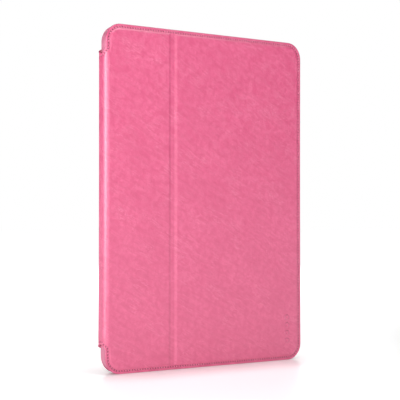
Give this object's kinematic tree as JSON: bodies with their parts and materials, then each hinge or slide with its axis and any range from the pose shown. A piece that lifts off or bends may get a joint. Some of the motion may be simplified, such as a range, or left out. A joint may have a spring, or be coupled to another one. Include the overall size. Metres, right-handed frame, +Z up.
{
  "type": "tablet folio case",
  "caption": "Slim upright folio case for a 9.7-inch tablet: stitched imitation-leather cover with a rounded spine and a pressed fold line around a plastic tray.",
  "frame": {"origin": "middle of the bottom edge of the closed case standing upright", "axes": "+Z up the case's height, +X from the spine to the free edge, +Y from the front cover to the back cover"},
  "size_m": [0.177, 0.0116, 0.247],
  "materials": {
    "leather": "smooth pink imitation leather with a soft sheen and faint creases",
    "lining": "brushed microfibre",
    "board": "matte stiffener board",
    "shell": "satin moulded plastic",
    "thread": "twisted sewing thread",
    "magnet": "plated magnet",
    "tape": "thin double-sided adhesive"
  },
  "bodies": {
    "back_case": {"shell_pan": "shell", "shell_wall_left": "shell", "shell_wall_lower_left": "shell", "shell_wall_top": "shell", "shell_wall_lower_right": "shell", "shell_wall_right": "shell", "shell_wall_upper_right": "shell", "shell_tape": "tape", "back_lining": "lining", "back_board": "board", "back_leather": "leather", "back_thread": "thread", "back_fold_leather": "leather", "back_fold_lining": "lining"},
    "spine": {"spine_leather": "leather", "spine_stiffener": "board", "spine_lining": "lining", "front_fold_leather": "leather", "front_fold_lining": "lining"},
    "front_strip": {"strip_leather": "leather", "strip_board": "board", "strip_lining": "lining", "strip_thread_lower": "thread", "strip_thread_upper": "thread", "crease_leather": "leather", "crease_lining": "lining"},
    "front_flap": {"flap_leather": "leather", "flap_board": "board", "flap_lining": "lining", "flap_thread": "thread", "closure_magnet_lower": "magnet", "sleep_magnet": "magnet", "closure_magnet_upper": "magnet"}
  },
  "joints": [
    {"name": "back_fold", "type": "hinge", "parent": "back_case", "child": "spine", "pos_m": [-0.08728, 0.00462, 0.1235], "axis": [0, 0, -1], "range_deg": [0, 145], "deforming": ["back_fold_leather", "back_fold_lining"]},
    {"name": "front_fold", "type": "hinge", "parent": "spine", "child": "front_strip", "pos_m": [-0.08728, -0.00462, 0.1235], "axis": [0, 0, -1], "range_deg": [0, 145], "deforming": ["front_fold_leather", "front_fold_lining"]},
    {"name": "crease_fold", "type": "hinge", "parent": "front_strip", "child": "front_flap", "pos_m": [-0.0315, -0.00498, 0.1235], "axis": [0, 0, -1], "range_deg": [0, 98], "deforming": ["crease_leather", "crease_lining"]}
  ]
}
